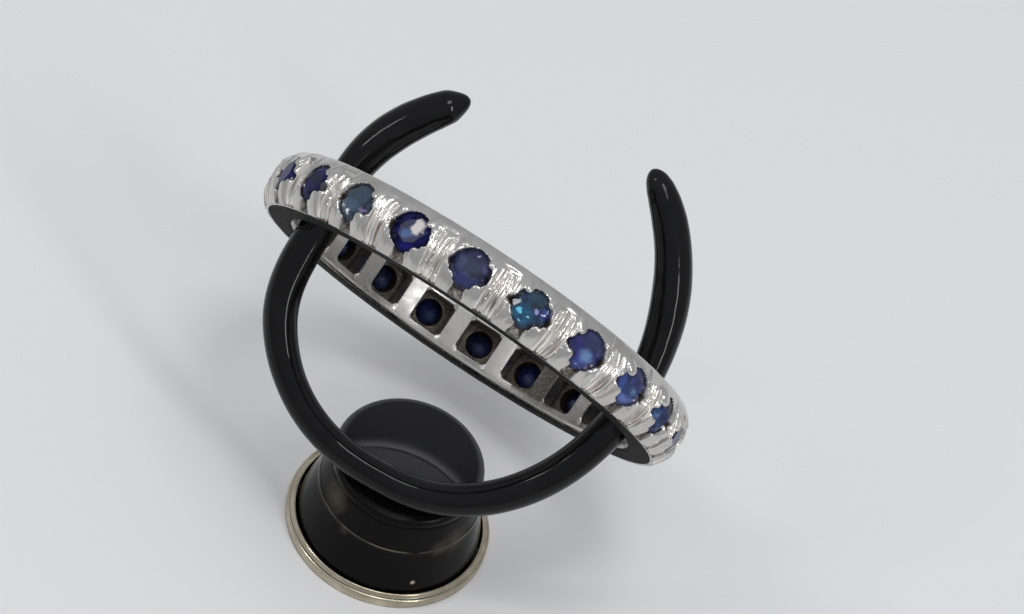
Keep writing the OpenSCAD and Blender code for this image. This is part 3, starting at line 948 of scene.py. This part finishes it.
# %% Thickness of the rod
# Columns: share of the way from the foot to the tip, share of the rod's radius.
LEFT_TAPER = [
    [0.00, 0.91], [0.08, 0.87], [0.17, 0.86], [0.31, 0.89], [0.44, 1.00], [0.53, 1.04], [0.61, 1.00],
    [0.69, 1.00], [0.73, 1.05], [0.77, 1.11], [0.82, 1.15], [0.87, 1.13], [0.92, 1.05], [0.95, 0.97],
    [0.96, 0.90], [0.97, 0.77], [0.98, 0.62], [0.99, 0.44], [0.996, 0.28], [0.999, 0.13], [1.0, 0.02],
]
RIGHT_TAPER = [
    [0.00, 0.91], [0.12, 0.94], [0.30, 1.00], [0.60, 1.00], [0.66, 1.05], [0.71, 1.10], [0.76, 1.11],
    [0.82, 1.06], [0.89, 1.01], [0.93, 0.92], [0.96, 0.80], [0.98, 0.63], [0.99, 0.46], [0.996, 0.29],
    [0.999, 0.14], [1.0, 0.02],
]
left_r = np.interp(-share, *np.array(LEFT_TAPER).T)
right_r = np.interp(share, *np.array(RIGHT_TAPER).T)
radii = ROD_R * np.where(share < 0, left_r, right_r)
print("rod thickness in mm, from", round(2 * float(radii.min()), 2), "to", round(2 * float(radii.max()), 2))

# %% Sweep the rod
rod_sides = 48
run = np.gradient(middle, axis=0)
run = run / np.linalg.norm(run, axis=1, keepdims=True)
away, out = np.meshgrid(radii, np.linspace(0, 2 * math.pi, rod_sides, endpoint=False), indexing="ij")
flat_x = middle[:, :1] + away * np.cos(out) * run[:, 1:]
flat_y = middle[:, 1:] - away * np.cos(out) * run[:, :1]
flat_z = away * np.sin(out)
spin_x = flat_x * math.cos(CLIP_TURN) - flat_y * math.sin(CLIP_TURN)
spin_y = flat_x * math.sin(CLIP_TURN) + flat_y * math.cos(CLIP_TURN)
facing = np.array([0.0, -math.sin(CLIP_LEAN), math.cos(CLIP_LEAN)])
points = np.stack([spin_x, spin_x * 0, spin_x * 0], axis=-1)
points = points + spin_y[..., None] * UP_CLIP + flat_z[..., None] * facing + CLIP_FOOT
faces = [list(f) for f in grid_faces(rod_rings, rod_sides, wrap_columns=True)]
faces.append(list(range(rod_sides)))
faces.append([(rod_rings - 1) * rod_sides + i for i in range(rod_sides)][::-1])
clip_rod = add_mesh("clip_rod", points.reshape(-1, 3), faces, 60)
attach(clip_rod, "root")
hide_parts("clip")

# %% [markdown]
# The rod's coat is black and glossy, but it was dipped, so it is not perfectly even. A slow
# unevenness in the surface breaks the long bright lines, and a little dust dulls them.

# %% Black coat of the rod
COAT_BLACK = (0.0025, 0.0025, 0.003, 1)
COAT_DUST = (0.006, 0.006, 0.0065, 1)
material, tree, shader = new_material("black_rod")
wear = noise(tree, 500, 4, 0.6)
black = blend_colour(tree, remap(tree, wear, 0.4, 0.7), COAT_BLACK, COAT_DUST)
waves = bump(tree, noise(tree, 380, 2, 0.5), 0.5, 0.00012)
fine = bump(tree, noise(tree, 6000, 3, 0.6), 0.15, 0.00001, waves)
paint(tree, shader, black, remap(tree, wear, 0.3, 0.75, 0.03, 0.12), fine)
shader.inputs["Specular IOR Level"].default_value = 0.22
clip_rod.data.materials.append(material)
print("coat of the rod", material.name)

# %% [markdown]
# The foot is turned: every part of it is a profile spun round the upright axis. One helper that
# spins a list of points makes all three parts, and the profiles hold the softened edges that
# catch the light.

# %% Sizes and helpers of the foot
BASE_R = 4.53
RIM_IN_R = BASE_R - 0.45
RIM_H = 0.6
BODY_H = 4.1
CAP_R = 3.3
BODY_TOP_R = CAP_R - 0.05
CAP_BOTTOM = BODY_H + 0.04
CAP_RISE = 0.3
CAP_TOP = CAP_BOTTOM + 0.66 + CAP_RISE


def turned(name, profile, steps=160, sharp_angle=30.0):
    """Spins a profile of (radius, height) pairs in mm round the upright axis."""
    profile = np.array(profile)
    spin = np.linspace(0, 2 * math.pi, steps, endpoint=False)
    columns = [np.outer(np.cos(spin), profile[:, 0]), np.outer(np.sin(spin), profile[:, 0])]
    columns.append(np.outer(np.ones(steps), profile[:, 1]))
    points = np.stack(columns, axis=-1).reshape(-1, 3)
    points, faces, _ = merged(points, grid_faces(steps, len(profile), wrap_rows=True))
    piece = add_mesh(name, points, faces, sharp_angle)
    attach(piece, "root")
    return piece


def arc(middle_r, middle_z, radius, from_a, to_a, count):
    """Points of an arc in a profile, with angles in degrees from the outward direction."""
    angles = np.radians(np.linspace(from_a, to_a, count))
    return [(middle_r + radius * math.cos(a), middle_z + radius * math.sin(a)) for a in angles]


def foot_radius(z):
    """Radius of the foot's body at height z."""
    return RIM_IN_R + (BODY_TOP_R - RIM_IN_R) * (z - RIM_H) / (BODY_H - RIM_H)


print("foot is", 2 * BASE_R, "mm wide and", round(CAP_TOP, 2), "mm high")

# %% [markdown]
# The cap is a black button with a low dome and a softened edge. It is grooved where the rod lies, and
# behind the groove a shallow scoop runs back to the middle. The scoop's edge and floor and the cap's rim
# behind the rod get a painted sheen, and the part in front of the rod a painted shade.
# Pushing the spun points down is the simplest way to cut both.

# %% Cap
CAP_EDGE_R = 0.28
GROOVE_R = ROD_R + 0.04
SCOOP_BACK = -0.02
SCOOP_BEND = 0.115
SCOOP_DEPTH = 0.05
SCOOP_SLOPE = 0.10
cap_dome = (CAP_RISE ** 2 + CAP_R ** 2) / (2 * CAP_RISE)
dome_z = CAP_TOP - cap_dome
cap_profile = [(0.0, CAP_BOTTOM), (1.5, CAP_BOTTOM), (CAP_R - 0.05, CAP_BOTTOM), (CAP_R, CAP_BOTTOM + 0.05)]
edge_z = dome_z + math.sqrt(cap_dome ** 2 - CAP_R ** 2) - CAP_EDGE_R
cap_profile += arc(CAP_R - CAP_EDGE_R, edge_z, CAP_EDGE_R, 0, 84, 9)
for r in np.linspace(CAP_R - CAP_EDGE_R, 0, 48)[1:]:
    cap_profile.append((r, dome_z + math.sqrt(cap_dome ** 2 - r ** 2)))
cap = turned("cap", cap_profile, 240, 30)
cap_points = np.array([v.co for v in cap.data.vertices]) / MM
into_scoop = SCOOP_BACK - SCOOP_BEND * cap_points[:, 0] ** 2 - cap_points[:, 1]
upper = cap_points[:, 2] > CAP_BOTTOM + 0.3
scoop = (SCOOP_DEPTH + SCOOP_SLOPE * np.clip(into_scoop, 0, None)) * ramp(into_scoop, 0, 0.08)
cap_points[:, 2] -= np.where(upper, scoop, 0)
from_rod = cap_points[:, 1] - CLIP_FOOT[1]
groove = CLIP_FOOT[2] - np.sqrt(np.clip(GROOVE_R ** 2 - from_rod ** 2, 0, None))
groove = np.where(np.abs(from_rod) < GROOVE_R, groove, CAP_TOP)
cap_points[:, 2] = np.minimum(cap_points[:, 2], groove)
behind_rod = ramp(from_rod, 0.2, 1.2)
# The pale mark is a painted sheen on the rim and round the scoop behind the rod, and the front mark is
# painted shade in front of and under the rod.
round_edge = ramp(np.hypot(cap_points[:, 0], cap_points[:, 1]), CAP_R - 0.42, CAP_R - 0.08)
scoop_edge = np.exp(-(np.clip(into_scoop, -9, 0) / 0.28) ** 2) * (1 - ramp(into_scoop, 0.0, 0.05))
pale = np.maximum(round_edge, scoop_edge) * behind_rod + 0.45 * ramp(into_scoop, 0.05, 0.15) * behind_rod
for mark_name, values in (("pale", pale), ("front", 1 - behind_rod)):
    layer = cap.data.attributes.new(mark_name, "FLOAT", "POINT")
    layer.data.foreach_set("value", values.astype(np.float32))
cap.data.vertices.foreach_set("co", (cap_points * MM).astype(np.float32).ravel())
cap.data.update()
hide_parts("foot_cap")
print("depth of the groove in mm", round(CAP_TOP - CLIP_FOOT[2] + GROOVE_R, 2))

# %% Black of the cap
CAP_BLACK = (0.010, 0.010, 0.012, 1)
CAP_GREY = (0.018, 0.018, 0.021, 1)
CAP_PAINTED_SHEEN = (0.10, 0.10, 0.105, 1)
CAP_PAINTED_SHADE = (0.003, 0.003, 0.003, 1)
material, tree, shader = new_material("black_cap")
cloud = noise(tree, 350, 3, 0.5)
black = blend_colour(tree, cloud, CAP_BLACK, CAP_GREY)
black = blend_colour(tree, mark(tree, "pale"), black, CAP_PAINTED_SHEEN)
black = blend_colour(tree, mark(tree, "front"), black, CAP_PAINTED_SHADE)
fine = bump(tree, noise(tree, 5000, 3, 0.6), 0.12, 0.00001)
paint(tree, shader, black, remap(tree, cloud, 0.3, 0.7, 0.22, 0.34), fine)
shader.inputs["Specular IOR Level"].default_value = 0.12
cap.data.materials.append(material)
print("finish of the cap", material.name)

# %% [markdown]
# The body is a plain taper, dark and polished like a mirror. The turner left one fine raised line round it,
# which carries a thin painted highlight as a light arc.

# %% Body of the foot
LINE_Z = 2.75
body_profile = [(0.0, 0.0), (RIM_IN_R - 0.03, 0.0), (RIM_IN_R, 0.03), (RIM_IN_R, RIM_H)]
below_line = np.linspace(RIM_H, LINE_Z - 0.05, 13)[1:]
on_line = np.linspace(LINE_Z - 0.03, LINE_Z + 0.03, 7)
above_line = np.linspace(LINE_Z + 0.05, BODY_H - 0.08, 9)
heights = np.concatenate([below_line, on_line, above_line])
for z in heights:
    raised = 0.02 * math.sqrt(max(0, 1 - ((z - LINE_Z) / 0.035) ** 2))
    body_profile.append((foot_radius(z) + raised, z))
body_profile += [(BODY_TOP_R - 0.05, BODY_H), (0.0, BODY_H)]
foot_body = turned("foot_mirror_body", body_profile, 160, 30)
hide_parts("foot_body")

# %% [markdown]
# A black mirror shows a little of the warm things round it as blurred patches. Soft patches of painted
# reflection at set places, a thin painted highlight along the raised line and a painted glint in gold near
# the rim keep it from looking like plain black paint, and cloudy noise moves it between black and dark
# brown.

# %% Finish of the body
# Columns: turn round the foot in degrees, height in mm, size in mm, strength.
# Patches of painted reflection of warm things round the body.
WARM_REFLECTION_PATCHES = [[-134, 3.5, 0.85, 0.9], [-31, 2.9, 0.8, 0.8], [-116, 2.6, 0.3, 0.5], [-45, 2.8, 0.5, 0.6]]
WARM_PAINTED_REFLECTION = (0.065, 0.052, 0.034, 1)
PAINTED_LINE_HIGHLIGHT = (0.16, 0.13, 0.09, 1)
BODY_BLACK = (0.0015, 0.0015, 0.0013, 1)
BODY_BROWN = (0.004, 0.0035, 0.003, 1)
# A painted glint in gold: turn in degrees, height and size in mm.
GLINT_SPOT = [-60, 1.09, 0.13]
PAINTED_GLINT_GOLD = (0.60, 0.52, 0.36, 1)


def near_point(tree, middle, size):
    """1 round a point given in mm and 0 outside it, with a soft and cloudy edge."""
    away = calculate_vector(tree, "DISTANCE", own_place(tree), tuple(float(v) * MM for v in middle))
    ragged = calculate(tree, "MULTIPLY_ADD", noise(tree, 2200, 3, 0.6), 0.7 * size * MM, away)
    return remap(tree, ragged, 0.5 * size * MM, 1.35 * size * MM, 1.0, 0.0)


def on_foot(turn, z):
    """Point on the foot's body at a turn in degrees and a height in mm."""
    a = math.radians(turn)
    return (foot_radius(z) * math.cos(a), foot_radius(z) * math.sin(a), z)


material, tree, shader = new_material("dark_mirror_body")
cloud = noise(tree, 420, 4, 0.65, (1, 1, 0.55))
dark = blend_colour(tree, cloud, BODY_BLACK, BODY_BROWN)
for turn_round, z, size, strength in WARM_REFLECTION_PATCHES:
    share = times(tree, near_point(tree, on_foot(turn_round, z), size), strength)
    dark = blend_colour(tree, share, dark, WARM_PAINTED_REFLECTION)
height = add_node(tree, "ShaderNodeSeparateXYZ", Vector=own_place(tree)).outputs["Z"]
below = remap(tree, height, (LINE_Z - 0.05) * MM, (LINE_Z - 0.02) * MM)
above = remap(tree, height, (LINE_Z + 0.02) * MM, (LINE_Z + 0.05) * MM, 1.0, 0.0)
broken = remap(tree, noise(tree, 500, 2, 0.5), 0.42, 0.62)
dark = blend_colour(tree, times(tree, times(tree, below, above), broken), dark, PAINTED_LINE_HIGHLIGHT)
dark = blend_colour(tree, near_point(tree, on_foot(*GLINT_SPOT[:2]), GLINT_SPOT[2]), dark, PAINTED_GLINT_GOLD)
uneven = bump(tree, noise(tree, 900, 3, 0.6), 0.2, 0.00003)
paint(tree, shader, dark, remap(tree, cloud, 0.3, 0.7, 0.04, 0.10), uneven)
shader.inputs["Specular IOR Level"].default_value = 0.10
foot_body.data.materials.append(material)
print("warm patches on the body:", len(WARM_REFLECTION_PATCHES))

# %% [markdown]
# The rim is bright champagne metal in two beads, the inner one higher. Bare metal needs edges to
# look like metal, so the beads are true arcs, and the finish goes from polished to worn.

# %% Rim of the foot
inner_r = RIM_IN_R + 0.04
rim_wide = BASE_R - inner_r
bead_in, bead_out = rim_wide * 0.46 / 2, rim_wide * 0.62 / 2
rim_profile = [(inner_r, 0.0), (inner_r, RIM_H - bead_in)]
rim_profile += arc(inner_r + bead_in, RIM_H - bead_in, bead_in, 180, 20, 9)
rim_profile += arc(BASE_R - bead_out, RIM_H - 0.14 - bead_out, bead_out, 100, 0, 9)
rim_profile += [(BASE_R, 0.04), (BASE_R - 0.03, 0.0), (inner_r, 0.0)]
foot_rim = turned("foot_bright_rim", rim_profile, 240, 40)
print("beads of the rim, radius in mm", round(bead_in, 3), round(bead_out, 3))

# %% Finish of the rim
CHAMPAGNE = (0.62, 0.57, 0.45, 1)
WORN_CHAMPAGNE = (0.36, 0.32, 0.23, 1)
material, tree, shader = new_material("champagne_rim")
cloud = noise(tree, 700, 4, 0.6)
metal = blend_colour(tree, remap(tree, cloud, 0.35, 0.7), CHAMPAGNE, WORN_CHAMPAGNE)
fine = bump(tree, noise(tree, 4000, 3, 0.6), 0.2, 0.00001)
paint(tree, shader, metal, remap(tree, cloud, 0.3, 0.7, 0.10, 0.26), fine)
shader.inputs["Metallic"].default_value = 1.0
foot_rim.data.materials.append(material)
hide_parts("foot_rim")

# %% [markdown]
# The floor and the light. Polished metal shows what is round it more than its own colour, so
# the light is part of its look. A pale floor, an even pale sky, one broad soft light overhead
# and two narrow ones for the thin bright lines along the rod are enough.

# %% Floor
bpy.ops.mesh.primitive_plane_add(size=1.6)
floor = bpy.context.object
floor.name = "floor"
material, tree, shader = new_material("pale_floor")
pale = blend_colour(tree, noise(tree, 6, 2, 0.5), (0.86, 0.86, 0.86, 1), (0.91, 0.91, 0.905, 1))
wire(tree, pale, shader.inputs["Base Color"])
shader.inputs["Roughness"].default_value = 0.75
floor.data.materials.append(material)
print("floor", floor.name)

# %% Even pale room
LOW_SKY = (0.42, 0.42, 0.43, 1)
HIGH_SKY = (0.56, 0.57, 0.60, 1)
world = bpy.data.worlds.new("soft_room")
world.use_nodes = True
tree = world.node_tree
direction = tree.nodes.new("ShaderNodeTexCoord").outputs["Generated"]
parts = add_node(tree, "ShaderNodeSeparateXYZ", Vector=direction)
sky = blend_colour(tree, remap(tree, parts.outputs["Z"], 0.0, 0.9), LOW_SKY, HIGH_SKY)
wire(tree, sky, tree.nodes["Background"].inputs["Color"])
tree.nodes["Background"].inputs["Strength"].default_value = 1.0
bpy.context.scene.world = world
bpy.context.scene.view_settings.view_transform = "Standard"
print("room", world.name)

# %% Lights
# Columns: name, direction from the ring, distance in mm, width and length in mm, brightness.
LIGHTS = [
    ["overhead", (0.10, -0.06, 1.0), 200, 60, 60, 6.0],
    ["right_window", (0.62, -0.46, 0.63), 200, 16, 90, 11.0],
    ["left_window", (-0.62, -0.20, 0.76), 200, 14, 70, 11.0],
]
for name, direction, distance, width, length, brightness in LIGHTS:
    data = bpy.data.lights.new(name, "AREA")
    data.shape = "RECTANGLE"
    data.size = width * MM
    data.size_y = length * MM
    data.energy = brightness * math.pi * data.size * data.size_y
    lamp = bpy.data.objects.new(name, data)
    bpy.context.scene.collection.objects.link(lamp)
    away = Vector(direction).normalized() * distance * MM
    lamp.location = Vector(RING_MIDDLE * MM) + away
    lamp.rotation_euler = away.to_track_quat("Z", "Y").to_euler()
print("lights", [row[0] for row in LIGHTS])
